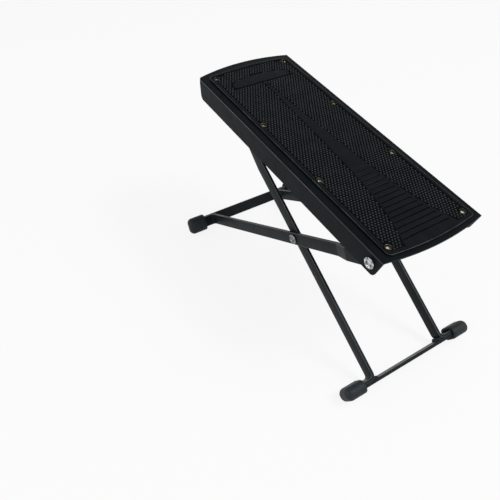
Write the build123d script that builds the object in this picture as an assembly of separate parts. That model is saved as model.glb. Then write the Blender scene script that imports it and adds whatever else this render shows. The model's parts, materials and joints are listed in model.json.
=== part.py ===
from build123d import *
from math import asin, atan2, cos, degrees, hypot, radians, sin
import os

# Folding guitar footrest: a treaded foot plate carried by two crossed flat-bar frames.
# Millimetres, +Z up. +X points to the low (heel) end of the plate, the left side is -Y.
# The origin is on the floor, under the middle of the object's bounding box.
# Every piece is drawn in the frame of its own body and then placed by that body's location:
#   plate body  origin on the plate hinge axis, X along the plate to the heel, Z out of the tread
#   outer frame origin on the plate hinge axis, the legs run along -X
#   inner frame origin on the scissor axis, the legs run along +X

# Overrun of the cutting tools past what they cut
overrun = 10.0

# Setting of the crossed frames
setting_angle = 35.0          # outer leg to plate, in the notch that the footrest stands in
highest_angle = 40.4          # outer leg to plate, in the highest notch
inner_per_outer = 0.76        # inner leg turn for each degree of outer leg turn

# Foot plate, a folded sheet steel channel
plate_length = 286.0          # between the corners, without the bowed ends
plate_width = 112.0
plate_depth = 21.5
sheet = 1.5
fold_radius = 1.7             # outside radius of the fold between tread sheet and flange
heel_bow = 5.8                # how far each end bows out past its corners
toe_bow = 8.2
flange_inset = 5.0            # how far the flange's lower corner lies inside the plate's corner
flange_corner = 5.0
toe_corner = 2.0              # plan rounding of the two corners at the high end
hinge_inset = 11.5            # hinge axis to the heel corners

# Tread mat, moulded rubber
mat_thick = 2.0
mat_side_inset = 7.5          # plate side to mat side
mat_heel_inset = 2.6          # plate corner to mat corner
mat_toe_inset = 5.6
mat_bow = 3.8
mat_corner = 5.0
mat_rim = 3.6                 # smooth rim round the two studded fields
field_depth = 0.9             # the fields lie this far under the rim, the wedge and the band
heel_gap = 0.9                # of the field between the heel rim and the wedge
stud_radius = 1.1             # to the corners of a stud
stud_pitch = 12.64            # from one main stud to the next of its row
stud_row_pitch = 10.24        # from row to row, every second row shifted half a pitch
stud_margin = 0.5             # floor between a stud and the nearest wall
rib_first = 10.1              # first cross groove, from the heel corners
rib_pitch = 5.75
rib_count = 16
rib_groove_width = 1.9
rib_depth = 0.8
rib_fade_power = 4            # the last grooves get shallower
rib_end_margin = 2.8          # groove end to the wedge's edge
wedge_tip = 0.6               # half width of the wedge where it meets the band
wedge_taper = 12.8            # half width that the straight taper adds at the heel
wedge_flare = 14.6            # half width that the flare adds at the heel
wedge_flare_power = 6
wedge_stations = 16
band_toe_inset = 22.0         # toe corners to the middle of the band's bowed edge
band_width = 14.0
band_half_length = 34.0
band_bow = 6.0
band_corner = 3.0

# Mat rivets, hollow, in recesses
rivets_per_row = 4
rivet_side_inset = 6.0        # mat side to each row
rivet_heel_inset = 7.6        # mat corner to the first rivet of a row
rivet_toe_inset = 5.6
rivet_shank_radius = 1.8
rivet_head_radius = 3.3
rivet_head_height = 0.9
rivet_rim_share = 0.3         # share of the head's height that is upright rim
rivet_eye_radius = 1.2
rivet_eye_depth = 0.5
rivet_recess_radius = 3.9
rivet_recess_floor = 0.9      # rubber left under the rivet head
rivet_tail_radius = 2.9
rivet_tail_height = 0.9

# Legs and crossbars, flat bar
bar_width = 12.5
bar_thick = 3.0
hinge_to_scissor = 118.0
scissor_to_outer_foot = 183.0
scissor_to_inner_foot = 152.0
joggle_start = 34.0           # from the hinge axis along the leg
joggle_end = 50.0
joggle_radius = 6.0
inner_joggle_start = 80.0     # from the scissor axis along the leg, towards the rod
inner_joggle_end = 118.0
inner_joggle_radius = 30.0
foot_bend = 4.5               # radius of the bend, on the bar's middle line
bar_edge = 0.4                # softened edge of the crossbars

# Side to side stack, from the flange inwards
spacer_thick = 0.8
side_clearance = 0.1
scissor_stand_off = 3.7       # the joggle: how far the lower outer leg stands in from the upper
rod_stand_off = 3.0           # and how far the inner leg's rod end stands in from the rest of it
pivot_shank_radius = 3.0
pivot_head_radius = 5.3
pivot_head_height = 2.4
pivot_tail_radius = 4.6
pivot_tail_height = 1.5
scissor_shank_radius = 2.5
scissor_head_radius = 5.0
scissor_head_height = 1.8
scissor_tail_radius = 4.0
scissor_tail_height = 1.4
pin_clearance = 0.05
spacer_margin = 2.6           # ring width of the spacer washers
head_rim = 0.6                # cylindrical rim under a domed head

# Locking rod and the toothed racks
rod_radius = 3.0
rod_tenon_radius = 2.25
rack_gap = 6.5                # between the inner leg, by the scissor, and the rack's web
rack_sheet = 1.5
rack_foot = 11.0
rack_fold_radius = 2.0
rack_rail = 3.4               # depth of the rail under the slot
rod_clearance = 0.3           # between the rod and the tooth tips or the rail
rod_end_clearance = 0.5
rod_dip = 1.1                 # how far the coupled rod sinks under the hinge line
notch_radius = 3.15
notch_pitch = 11.0
notch_lead = 1.2              # slanted lead at the heel side of a notch
rack_heel_margin = 5.5        # metal beyond the slot at its heel end
rack_toe_margin = 3.2         # and at its toe end, which stays inside the flanges
rack_heel_corner = 3.0
rack_toe_corner = 6.0

# Rubber feet
foot_thick = 13.0
foot_wide = 19.5
foot_round = 6.0
foot_dome = 5.6
foot_length = 21.5
foot_offset = 12.0            # outer face of the leg to the mouth of the rubber foot
foot_wall = 5.0               # rubber beyond the bar ends
foot_mouth_round = 0.8

# Weld beads
weld_radius = 2.6

# Derived places across the width
half_width = plate_width / 2
flange_inner = half_width - sheet
outer_upper_face = flange_inner - spacer_thick - side_clearance
outer_lower_face = outer_upper_face - scissor_stand_off
outer_inner_face = outer_lower_face - bar_thick
inner_face = outer_inner_face - spacer_thick - side_clearance
inner_inner_face = inner_face - bar_thick
rod_end_face = inner_face - rod_stand_off
rod_inner_face = rod_end_face - bar_thick
rack_outer_face = inner_inner_face - rack_gap
mat_half_width = half_width - mat_side_inset
rivet_row = mat_half_width - rivet_side_inset

# Derived places along the plate body, X to the heel, Z out of the tread
tread_z = plate_depth / 2
heel_x = hinge_inset
toe_x = heel_x - plate_length
sheet_under_z = tread_z - sheet
flange_low_z = tread_z - plate_depth
mat_top_z = tread_z + mat_thick
mat_heel_x = heel_x - mat_heel_inset
mat_toe_x = toe_x + mat_toe_inset
band_heel_x = toe_x + band_toe_inset + band_width
rib_first_x = heel_x - rib_first

# The rod runs on the hinge line: its lever on the inner leg follows from the two angles
scissor_to_rod = (hinge_to_scissor * sin(radians(highest_angle))
                  / sin(radians(inner_per_outer * highest_angle)))
inner_angle = inner_per_outer * setting_angle


def rod_station(outer_angle):
    """Distance from the hinge to the rod along the plate, for one setting."""
    inner = radians(inner_per_outer * outer_angle)
    return hinge_to_scissor * cos(radians(outer_angle)) + scissor_to_rod * cos(inner)


def foot_reach(leg_slope):
    """How far a rubber foot reaches below its middle when its leg slopes by this angle."""
    slope = radians(leg_slope)
    flat_thick = foot_thick / 2 - foot_round
    flat_wide = foot_wide / 2 - foot_round
    return flat_thick * sin(slope) + flat_wide * cos(slope) + foot_round


def solve_tilt():
    """Tilt of the plate to the floor at which all four rubber feet touch the floor."""
    out = hinge_to_scissor + scissor_to_outer_foot
    a = radians(setting_angle)
    b = radians(inner_angle)
    along = out * cos(a) - hinge_to_scissor * cos(a) + scissor_to_inner_foot * cos(b)
    drop = -out * sin(a) + hinge_to_scissor * sin(a) + scissor_to_inner_foot * sin(b)
    tilt = 0.0
    for _ in range(6):
        difference = foot_reach(setting_angle - tilt) - foot_reach(inner_angle + tilt)
        tilt = degrees(asin(difference / hypot(along, drop)) - atan2(drop, along))
    return tilt


tilt = solve_tilt()
outer_slope = setting_angle - tilt
inner_slope = inner_angle + tilt
hinge_height = ((hinge_to_scissor + scissor_to_outer_foot) * sin(radians(outer_slope))
                + foot_reach(outer_slope))
scissor_x = -hinge_to_scissor * cos(radians(outer_slope))
scissor_height = hinge_height - hinge_to_scissor * sin(radians(outer_slope))


def mirrored(shape):
    """The same shape on the left side."""
    return mirror(shape, about=Plane.XZ)


def across(radius, y_from, y_to, x=0.0, z=0.0):
    """A round bar across the width, from y_from to y_to."""
    length = abs(y_to - y_from)
    return Pos(x, (y_from + y_to) / 2, z) * Rot(90, 0, 0) * Cylinder(radius, length)


def ring(inner_radius, outer_radius, y_from, y_to, x=0.0, z=0.0):
    """A washer across the width."""
    return across(outer_radius, y_from, y_to, x, z) - across(inner_radius, y_from, y_to, x, z)


def bowed_outline(x_heel, x_toe, half, bow_heel, bow_toe):
    """Plan outline with straight sides and two ends that bow outward."""
    lines = Line((x_toe, -half), (x_heel, -half))
    lines += ThreePointArc((x_heel, -half), (x_heel + bow_heel, 0), (x_heel, half))
    lines += Line((x_heel, half), (x_toe, half))
    lines += ThreePointArc((x_toe, half), (x_toe - bow_toe, 0), (x_toe, -half))
    return make_face(lines)


def rivet_places():
    """The eight mat rivets, (x, y) in the plate body."""
    first = mat_heel_x - rivet_heel_inset
    pitch = (first - mat_toe_x - rivet_toe_inset) / (rivets_per_row - 1)
    stations = [first - turn * pitch for turn in range(rivets_per_row)]
    return [(x, y) for x in stations for y in (-rivet_row, rivet_row)]


def foot_plate():
    """The channel: bowed tread sheet with a folded flange on each side."""
    outline = bowed_outline(heel_x, toe_x, half_width, heel_bow, toe_bow)
    outline = fillet(outline.vertices().group_by(Axis.X)[0], toe_corner)
    block = Pos(0, 0, flange_low_z) * extrude(outline, plate_depth)
    run = plate_length + heel_bow + toe_bow + 2 * overrun
    middle_x = (heel_x + toe_x) / 2
    skin = Pos(middle_x, 0, 0) * Box(run, plate_width, plate_depth)
    skin = fillet(skin.edges().filter_by(Axis.X).group_by(Axis.Z)[-1], fold_radius)
    hollow = Pos(middle_x, 0, -sheet) * Box(run + overrun, plate_width - 2 * sheet, plate_depth)
    hollow = fillet(hollow.edges().filter_by(Axis.X).group_by(Axis.Z)[-1], fold_radius - sheet)
    channel = (skin - hollow) & block
    fold_z = tread_z - fold_radius
    side = Polyline(
        (toe_x - toe_bow, tread_z),
        (heel_x + heel_bow, tread_z),
        (heel_x + heel_bow, fold_z),
        (heel_x, fold_z),
        (heel_x - flange_inset, flange_low_z),
        (toe_x + flange_inset, flange_low_z),
        (toe_x, fold_z),
        (toe_x - toe_bow, fold_z),
        close=True,
    )
    profile = make_face(Plane.XZ * side)
    profile = fillet(profile.vertices().group_by(Axis.Z)[0], flange_corner)
    channel &= extrude(profile, plate_width, both=True)
    channel -= across(pivot_shank_radius, -plate_width, plate_width)
    for x, y in rivet_places():
        channel -= Pos(x, y, tread_z) * Cylinder(rivet_shank_radius, 2 * (sheet + overrun))
    return channel


def wedge_half(x):
    """Half width of the smooth wedge at x: a straight taper with a flare towards the heel."""
    share = (x - band_heel_x) / (rib_first_x - band_heel_x)
    return wedge_tip + wedge_taper * share + wedge_flare * share ** wedge_flare_power


def wedge_outline():
    """Plan of the smooth wedge, run on past the mat's heel edge and into the band."""
    start = mat_heel_x + mat_bow
    step = (band_heel_x - band_corner - start) / wedge_stations
    stations = [start + turn * step for turn in range(wedge_stations + 1)]
    right = [(x, wedge_half(x)) for x in stations]
    left = [(x, -wedge_half(x)) for x in stations]
    return make_face(
        Spline(*right) + Line(right[-1], left[-1]) + Spline(*left) + Line(left[0], right[0])
    )


def band_outline():
    """Plan of the smooth band at the high end: one straight edge, one bowed edge."""
    near = band_heel_x
    far = near - band_width + band_bow
    half = band_half_length
    lines = Line((near, -half), (near, half)) + Line((near, half), (far, half))
    lines += ThreePointArc((far, half), (far - band_bow, 0), (far, -half))
    lines += Line((far, -half), (near, -half))
    return fillet(make_face(lines).vertices(), band_corner)


def rib_grooves():
    """(x, half length, depth) of each cross groove, the last ones getting shallower."""
    places = []
    for turn in range(rib_count):
        x = rib_first_x - turn * rib_pitch
        depth = rib_depth * (1 - (turn / rib_count) ** rib_fade_power)
        places.append((x, wedge_half(x) - rib_end_margin, depth))
    return places


def mat_outline(inset):
    """Plan outline of the mat, or of a line that runs this far inside its edge."""
    x_heel = mat_heel_x - inset
    outline = bowed_outline(x_heel, mat_toe_x + inset, mat_half_width - inset, mat_bow, mat_bow)
    return fillet(outline.vertices(), mat_corner - inset)


def stud_places():
    """The main studs of the two fields, (x, y): staggered rows, clear of every wall."""
    reach = stud_radius + stud_margin
    half = mat_half_width - mat_rim - reach
    low_x = mat_toe_x + mat_rim + reach
    high_x = mat_heel_x - mat_rim - reach
    band_from = band_heel_x - band_width - reach
    band_to = band_heel_x + reach
    rivets = rivet_places()
    columns = int(half / stud_pitch) + 1
    places = []
    for row in range(int((high_x - low_x) / stud_row_pitch) + 1):
        x = high_x - row * stud_row_pitch
        for column in range(-columns, columns + 1):
            y = (column + (row % 2) / 2) * stud_pitch
            inside = abs(y) < half
            off_wedge = x < band_heel_x or abs(y) > wedge_half(x) + reach
            off_band = not band_from < x < band_to or abs(y) > band_half_length + reach
            off_rivets = all(hypot(x - a, y - b) > rivet_recess_radius + reach for a, b in rivets)
            if inside and off_wedge and off_band and off_rivets:
                places.append((x, y))
    return places


def tread_mat():
    """Rubber mat: two studded fields, a wedge of cross grooves, a smooth band and a rim."""
    mat = Pos(0, 0, tread_z) * extrude(mat_outline(0), mat_thick)
    wedge = wedge_outline() & mat_outline(mat_rim + heel_gap)
    fields = mat_outline(mat_rim) - wedge - band_outline()
    studs = [Pos(x, y) * RegularPolygon(stud_radius, 6) for x, y in stud_places()]
    mat -= Pos(0, 0, mat_top_z - field_depth) * extrude(fields - studs, field_depth)
    recess_depth = mat_thick - rivet_recess_floor
    for x, y in rivet_places():
        mat -= Pos(x, y, tread_z) * Cylinder(rivet_shank_radius, 2 * (mat_thick + overrun))
        mat -= Pos(x, y, mat_top_z - recess_depth / 2) * Cylinder(rivet_recess_radius, recess_depth)
    grooves = [
        Pos(x, 0, mat_top_z - depth / 2) * Box(rib_groove_width, 2 * half_length, depth)
        for x, half_length, depth in rib_grooves()
    ]
    return mat - grooves


def mat_rivet():
    """One hollow rivet through mat and sheet, origin on the tread sheet's top."""
    head_under = rivet_recess_floor
    head_top = head_under + rivet_head_height
    edge = rivet_rim_share * rivet_head_height
    tail_z = -sheet - rivet_tail_height
    section = Polyline(
        (0, tail_z),
        (rivet_tail_radius, tail_z),
        (rivet_tail_radius, -sheet),
        (rivet_shank_radius, -sheet),
        (rivet_shank_radius, head_under),
        (rivet_head_radius, head_under),
        (rivet_head_radius, head_under + edge),
        (rivet_eye_radius, head_top),
        (rivet_eye_radius, head_top - rivet_eye_depth),
        (0, head_top - rivet_eye_depth),
        close=True,
    )
    return revolve(make_face(Plane.XZ * section), Axis.Z)


def mat_rivets():
    rivet = mat_rivet()
    return [Pos(x, y, tread_z) * rivet for x, y in rivet_places()]


def domed_pin(shank_radius, head_radius, head_height, tail_radius, tail_height, head_y, tail_y):
    """Pin across the width: domed head outside head_y, formed tail inside tail_y."""
    head = Polyline(
        (0, tail_y - tail_height),
        (tail_radius - head_rim, tail_y - tail_height),
        (tail_radius, tail_y - tail_height + head_rim),
        (tail_radius, tail_y),
        (shank_radius, tail_y),
        (shank_radius, head_y),
        (head_radius, head_y),
        (head_radius, head_y + head_rim),
    )
    sphere_drop = head_height - head_rim
    sphere = (head_radius ** 2 + sphere_drop ** 2) / (2 * sphere_drop)
    turn = asin(head_radius / sphere) / 2
    middle = (sphere * sin(turn), head_y + head_height - sphere * (1 - cos(turn)))
    dome = ThreePointArc((head_radius, head_y + head_rim), middle, (0, head_y + head_height))
    axis_line = Line((0, head_y + head_height), (0, tail_y - tail_height))
    return revolve(make_face(head + dome + axis_line), Axis.Y)


def notch_stations():
    """Rod stations of the notches, the highest setting first."""
    standing = rod_station(setting_angle)
    return [standing + step * notch_pitch for step in (-1, 0, 1, 2)]


def rack():
    """Right rack: a folded strip whose web has a slot with notches along its top edge."""
    tip_z = rod_radius + rod_clearance
    rail_z = -rod_radius - rod_dip - rod_clearance
    low_z = rail_z - rack_rail
    slot_heel = -rod_station(highest_angle) + rod_radius + rod_end_clearance
    slot_toe = -rod_station(0) - rod_radius - rod_end_clearance
    heel_end = slot_heel + rack_heel_margin
    toe_end = slot_toe - rack_toe_margin
    web_outline = Polyline(
        (toe_end, sheet_under_z),
        (heel_end, sheet_under_z),
        (heel_end, low_z),
        (toe_end, low_z),
        close=True,
    )
    web = make_face(web_outline)
    web = fillet(web.vertices().group_by(Axis.Y)[0].sort_by(Axis.X)[0], rack_toe_corner)
    web = fillet(web.vertices().group_by(Axis.Y)[0].sort_by(Axis.X)[-1], rack_heel_corner)
    slot = Polyline(
        (slot_toe, tip_z),
        (slot_heel, tip_z),
        (slot_heel, rail_z),
        (slot_toe, rail_z),
        close=True,
    )
    slot = fillet(make_face(slot).vertices(), rod_radius)
    web -= slot
    for station in notch_stations():
        lead = make_face(Polyline(
            (-station - notch_radius, tip_z),
            (-station + notch_radius + notch_lead, tip_z),
            (-station + notch_radius, tip_z + notch_lead),
            (-station - notch_radius, tip_z + notch_lead),
            close=True,
        ))
        web -= Pos(-station, tip_z) * Circle(notch_radius)
        web -= lead
    outer_y = rack_outer_face
    web_solid = Pos(0, outer_y, 0) * extrude(Plane.XZ * web, rack_sheet)
    foot_run = heel_end - toe_end
    foot_x = (heel_end + toe_end) / 2
    fold = make_face(
        Line((outer_y - rack_foot, sheet_under_z), (outer_y, sheet_under_z))
        + Line((outer_y, sheet_under_z), (outer_y, sheet_under_z - rack_fold_radius))
        + Line((outer_y, sheet_under_z - rack_fold_radius),
               (outer_y - rack_sheet, sheet_under_z - rack_fold_radius))
        + Line((outer_y - rack_sheet, sheet_under_z - rack_fold_radius),
               (outer_y - rack_sheet, sheet_under_z - rack_sheet))
        + Line((outer_y - rack_sheet, sheet_under_z - rack_sheet),
               (outer_y - rack_foot, sheet_under_z - rack_sheet))
        + Line((outer_y - rack_foot, sheet_under_z - rack_sheet),
               (outer_y - rack_foot, sheet_under_z))
    )
    foot = Pos(foot_x - foot_run / 2, 0, 0) * extrude(Plane.YZ * fold, foot_run)
    return web_solid + foot


def bent_bar(points, radii, width):
    """Flat bar on edge: the middle line lies in the XY plane, the wide side stands along Z."""
    line = FilletPolyline(*points, radius=radii)
    return Pos(0, 0, -width / 2) * extrude(trace(line, line_width=bar_thick), width)


def tab_end(leg_face):
    """How far from the middle plane a tab and its crossbar reach, inside the rubber foot."""
    return leg_face + foot_offset + foot_length - foot_wall


def eye_end(x_out):
    """A round-ended cutter keeps the bar's end round about the origin, x_out the side it runs to."""
    keep = Cylinder(bar_width / 2, plate_width)
    keep += Pos(x_out / 2, 0, 0) * Box(abs(x_out), bar_width, plate_width)
    return Rot(90, 0, 0) * keep


def outer_leg():
    """Right outer leg: hinge eye, joggle, long straight and the bend to the foot tab."""
    upper = outer_upper_face - bar_thick / 2
    lower = outer_lower_face - bar_thick / 2
    foot = hinge_to_scissor + scissor_to_outer_foot - bar_thick / 2
    points = [
        (bar_width, upper),
        (-joggle_start, upper),
        (-joggle_end, lower),
        (-foot, lower),
        (-foot, tab_end(outer_lower_face)),
    ]
    leg = bent_bar(points, [joggle_radius, joggle_radius, foot_bend], bar_width)
    leg &= eye_end(-2 * foot)
    leg -= across(pivot_shank_radius + pin_clearance, 0, plate_width)
    return leg - across(scissor_shank_radius, 0, plate_width, -hinge_to_scissor)


def inner_leg():
    """Right inner leg: rod eye, slight joggle, scissor hole, straight and the bend to the tab."""
    middle = inner_face - bar_thick / 2
    rod_end = rod_end_face - bar_thick / 2
    foot = scissor_to_inner_foot - bar_thick / 2
    points = [
        (-scissor_to_rod - bar_width, rod_end),
        (-inner_joggle_end, rod_end),
        (-inner_joggle_start, middle),
        (foot, middle),
        (foot, tab_end(inner_face)),
    ]
    leg = bent_bar(points, [inner_joggle_radius, inner_joggle_radius, foot_bend], bar_width)
    leg &= Pos(-scissor_to_rod, 0, 0) * eye_end(2 * (foot + scissor_to_rod))
    leg -= across(scissor_shank_radius + pin_clearance, 0, plate_width)
    return leg - across(rod_tenon_radius, 0, plate_width, -scissor_to_rod)


def crossbar(reach, foot_x, side):
    """Flat bar from foot to foot, beyond the tabs; side is the way the legs run."""
    bar = Box(bar_thick, 2 * reach, bar_width)
    bar = fillet(bar.edges().filter_by(Axis.Y), bar_edge)
    return Pos(foot_x + side * bar_thick / 2, 0, 0) * bar


def weld(leg_face, foot_x, side, leg, bar):
    """Bead in the groove between the bend and the crossbar, on the inner side of the leg."""
    y = leg_face - bar_thick
    bead = Pos(foot_x, y, 0) * Cylinder(weld_radius, bar_width - 2 * bar_edge)
    pieces = (bead - leg - bar).solids()
    return min(pieces, key=lambda piece: piece.center().Y - side * piece.center().X)


def rubber_foot(mouth, foot_x, cores):
    """Rubber foot pushed over a tab and crossbar end, mouth towards the middle."""
    section = RectangleRounded(foot_thick, foot_wide, foot_round)
    body = extrude(section, foot_length)
    body = fillet(body.edges().group_by(Axis.Z)[-1], foot_dome)
    body = chamfer(body.edges().group_by(Axis.Z)[0], foot_mouth_round)
    cap = Pos(foot_x, mouth, 0) * Rot(-90, 0, 0) * body
    for core in cores:
        cap -= core
    return cap


def locking_rod():
    """Cross rod between the inner legs, its tenons peened flush in them."""
    rod = across(rod_radius, -rod_inner_face, rod_inner_face, -scissor_to_rod)
    return rod + across(rod_tenon_radius, -rod_end_face, rod_end_face, -scissor_to_rod)


def plate_body():
    pivot = domed_pin(
        pivot_shank_radius, pivot_head_radius, pivot_head_height, pivot_tail_radius,
        pivot_tail_height, half_width, outer_upper_face - bar_thick - side_clearance,
    )
    spacer = ring(
        pivot_shank_radius, pivot_shank_radius + spacer_margin, flange_inner,
        flange_inner - spacer_thick,
    )
    right_rack = rack()
    return {
        "foot_plate": foot_plate(),
        "tread_mat": tread_mat(),
        "mat_rivets": Compound(mat_rivets()),
        "rack_left": mirrored(right_rack),
        "rack_right": right_rack,
        "pivot_rivet_left": mirrored(pivot),
        "pivot_rivet_right": pivot,
        "pivot_washer_left": mirrored(spacer),
        "pivot_washer_right": spacer,
    }


def outer_body():
    foot_x = -(hinge_to_scissor + scissor_to_outer_foot)
    leg = outer_leg()
    bar = crossbar(tab_end(outer_lower_face), foot_x, -1)
    foot = rubber_foot(outer_lower_face + foot_offset, foot_x, [leg, bar])
    bead = weld(outer_lower_face, foot_x, -1, leg, bar)
    pin = Pos(-hinge_to_scissor, 0, 0) * domed_pin(
        scissor_shank_radius, scissor_head_radius, scissor_head_height, scissor_tail_radius,
        scissor_tail_height, outer_lower_face, inner_inner_face - side_clearance,
    )
    spacer = ring(
        scissor_shank_radius, scissor_shank_radius + spacer_margin, outer_inner_face,
        outer_inner_face - spacer_thick, -hinge_to_scissor,
    )
    return {
        "outer_leg_left": mirrored(leg),
        "outer_leg_right": leg,
        "outer_crossbar": bar,
        "outer_welds": Compound([bead, mirrored(bead)]),
        "outer_foot_left": mirrored(foot),
        "outer_foot_right": foot,
        "scissor_rivet_left": mirrored(pin),
        "scissor_rivet_right": pin,
        "scissor_washer_left": mirrored(spacer),
        "scissor_washer_right": spacer,
    }


def inner_body():
    foot_x = scissor_to_inner_foot
    leg = inner_leg()
    bar = crossbar(tab_end(inner_face), foot_x, 1)
    foot = rubber_foot(inner_face + foot_offset, foot_x, [leg, bar])
    bead = weld(inner_face, foot_x, 1, leg, bar)
    return {
        "inner_leg_left": mirrored(leg),
        "inner_leg_right": leg,
        "inner_crossbar": bar,
        "inner_welds": Compound([bead, mirrored(bead)]),
        "inner_foot_left": mirrored(foot),
        "inner_foot_right": foot,
        "locking_rod": locking_rod(),
    }


def placed():
    """Every node in the object's own frame."""
    plate_place = Pos(0, 0, hinge_height) * Rot(0, tilt, 0)
    outer_place = Pos(0, 0, hinge_height) * Rot(0, -outer_slope, 0)
    inner_place = Pos(scissor_x, 0, scissor_height) * Rot(0, inner_slope, 0)
    nodes = {}
    for place, pieces in (
        (plate_place, plate_body()),
        (outer_place, outer_body()),
        (inner_place, inner_body()),
    ):
        for name, shape in pieces.items():
            nodes[name] = place * shape
    boxes = [shape.bounding_box() for shape in nodes.values()]
    toe_end = min(box.min.X for box in boxes)
    heel_end = max(box.max.X for box in boxes)
    centre_x = (toe_end + heel_end) / 2
    print("length", round(heel_end - toe_end, 4), "width", round(max(b.size.Y for b in boxes), 4))
    print("lowest", round(min(b.min.Z for b in boxes), 4), "top", round(max(b.max.Z for b in boxes), 4))
    print("tilt", round(tilt, 4), "outer slope", round(outer_slope, 4), "inner", round(inner_slope, 4))
    print("hinge", round(-centre_x, 4), round(hinge_height, 4))
    print("scissor", round(scissor_x - centre_x, 4), round(scissor_height, 4))
    print("scissor_to_rod", round(scissor_to_rod, 4), "rod", round(rod_station(setting_angle), 4))
    return {name: Pos(-centre_x, 0, 0) * shape for name, shape in nodes.items()}


os.makedirs("parts", exist_ok=True)
for name, shape in placed().items():
    shape.label = name
    export_step(shape, f"parts/{name}.step")
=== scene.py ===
import json
from math import atan2, cos, degrees, radians, sin

import bpy
import numpy as np
from mathutils import Matrix, Vector

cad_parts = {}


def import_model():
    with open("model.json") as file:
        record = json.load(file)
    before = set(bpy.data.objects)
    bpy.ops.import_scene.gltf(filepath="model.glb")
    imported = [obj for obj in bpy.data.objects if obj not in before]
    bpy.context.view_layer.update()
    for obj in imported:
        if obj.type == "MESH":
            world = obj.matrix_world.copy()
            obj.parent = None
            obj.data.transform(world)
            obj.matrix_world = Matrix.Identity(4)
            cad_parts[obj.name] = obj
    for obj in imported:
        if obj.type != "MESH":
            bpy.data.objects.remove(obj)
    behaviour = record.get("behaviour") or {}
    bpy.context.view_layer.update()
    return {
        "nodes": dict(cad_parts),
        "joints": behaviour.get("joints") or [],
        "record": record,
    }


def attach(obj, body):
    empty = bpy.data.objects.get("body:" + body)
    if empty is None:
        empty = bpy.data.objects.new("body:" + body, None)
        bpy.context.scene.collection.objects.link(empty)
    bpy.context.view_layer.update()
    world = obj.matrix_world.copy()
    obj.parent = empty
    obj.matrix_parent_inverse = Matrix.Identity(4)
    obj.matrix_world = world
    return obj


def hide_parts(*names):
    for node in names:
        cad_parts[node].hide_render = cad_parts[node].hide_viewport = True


# Folding guitar footrest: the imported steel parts, dressed with their rubber, rivets and finishes.
# Sizes are in metres, written as millimetres times mm. Angles are in degrees.
# Each new piece is worked out in its body's own frame and then placed in the object's frame:
#   plate        origin on the hinge axis, X along the plate to the heel, Z out of the tread
#   outer frame  origin on the hinge axis, the legs run along -X
#   inner frame  origin on the scissor axis, the legs run along +X

mm = 0.001
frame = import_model()

# Plate and mat
plate_length = 286 * mm
plate_width = 112 * mm
tread_z = 10.75 * mm              # tread sheet's top above the hinge axis
heel_x = 11.5 * mm                # heel corners beyond the hinge axis
mat_thick = 2 * mm
mat_side_inset = 7.5 * mm
mat_heel_inset = 2.6 * mm
mat_toe_inset = 5.6 * mm
mat_bow = 3.8 * mm
mat_corner = 3.6 * mm
mat_least_corner = 0.4 * mm       # where the rim's profile has drawn the outline in
rim_width = 3.6 * mm
rim_highlight_steps = 2                    # last steps of the rim's outer side, paler as a painted highlight

# Smooth wedge with its cross grooves, and the smooth band at the high end
wedge_tip = 0.6 * mm
wedge_taper = 12.8 * mm
wedge_flare = 14.6 * mm
wedge_flare_power = 6
groove_first = 10.1 * mm
groove_pitch = 5.75 * mm
groove_count = 16
groove_half = 1.2 * mm
groove_depth = 0.8 * mm
groove_fade_power = 4
groove_roundness = 0.7            # power of the cosine valley: lower is fuller
groove_end = 2.8 * mm             # from the wedge's right edge
groove_end_left = 1.1 * mm
groove_end_length = 1 * mm        # over which a groove runs out
wedge_heel_inset = 2.7 * mm       # wedge's heel end behind the mat's heel corners
wedge_row = 0.25 * mm             # station spacing over the grooves
wedge_land = 1.8 * mm             # fine stations beyond the first groove
wedge_edge_share = 0.6            # of its half width: where it is narrow, edge columns stay outside that
wedge_root = 0.1 * mm             # how far the wedge and the band run into the floor
wedge_tip_gap = 0.5 * mm          # wedge's tip to the band
bow_start = 0.4 * mm              # past the first groove, where the heel's bow sets in
hollow_share = 0.3                # of the grooves' depth: what lies deeper gets painted shade, darker and duller
band_toe_inset = 22 * mm
band_width = 14 * mm
band_half_length = 34 * mm
band_bow = 6 * mm
band_corner = 3 * mm

# Studs, in staggered rows, and the room that each stud's middle keeps
stud_row_pitch = 2.56 * mm
stud_pitch = 3.16 * mm
stud_height = 0.9 * mm
stud_sides = 8
stud_to_rim = 0.9 * mm
stud_to_side = 0.2 * mm           # more than that at the mat's sides
stud_to_end = 0.3 * mm            # at its ends
stud_to_corner = 0.8 * mm         # and across its corners
stud_to_wedge = 0.7 * mm
stud_to_band = 1.3 * mm
stud_to_recess = 0.7 * mm

# Hollow mat rivets
rivets_per_row = 4
rivet_side_inset = 6 * mm
rivet_heel_inset = 7.6 * mm
rivet_toe_inset = 5.6 * mm
rivet_seat = 0.9 * mm
rivet_radius = 3.3 * mm
rivet_height = 0.9 * mm
rivet_rim = 0.25 * mm             # upright part of the ring
eye_radius = 2.4 * mm             # rolled ring's inner edge
bore_radius = 1.65 * mm           # through the sheet
shank_radius = 1.8 * mm
rivet_tail = 0.9 * mm             # rolled end under the sheet
rivet_tail_radius = 2.8 * mm
mat_hole = 2.3 * mm
eye_lip = 0.1 * mm                # step in from the ring to the bore, which starts twice as low
eyelet_steps = 40
recess_radius = 3.9 * mm
recess_slope = 0.04 * mm          # how much wider the recess gets at each step up its wall

# Hinge rivets and scissor rivets
pivot_shank = 3 * mm
pivot_head = 5.3 * mm
pivot_head_height = 2.2 * mm
pivot_tail = 4.6 * mm
pivot_tail_height = 1.5 * mm
scissor_shank = 2.5 * mm
scissor_head = 5 * mm
scissor_head_height = 1.7 * mm
scissor_tail = 4 * mm
scissor_tail_height = 1.4 * mm
head_dish = 0.8 * mm
head_round_share = 0.34           # of the head's height, for its rounded rim
tail_round_share = 0.6            # and of the tail's
ledge_share = 0.1                 # of the head's radius: from the rim to the dish
dish_slope_share = 0.22           # down to the dish's floor
boss_share = 0.42                 # the boss's foot
boss_slope_share = 0.24           # up its side
boss_height_share = 0.35          # of the dish's depth

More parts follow.
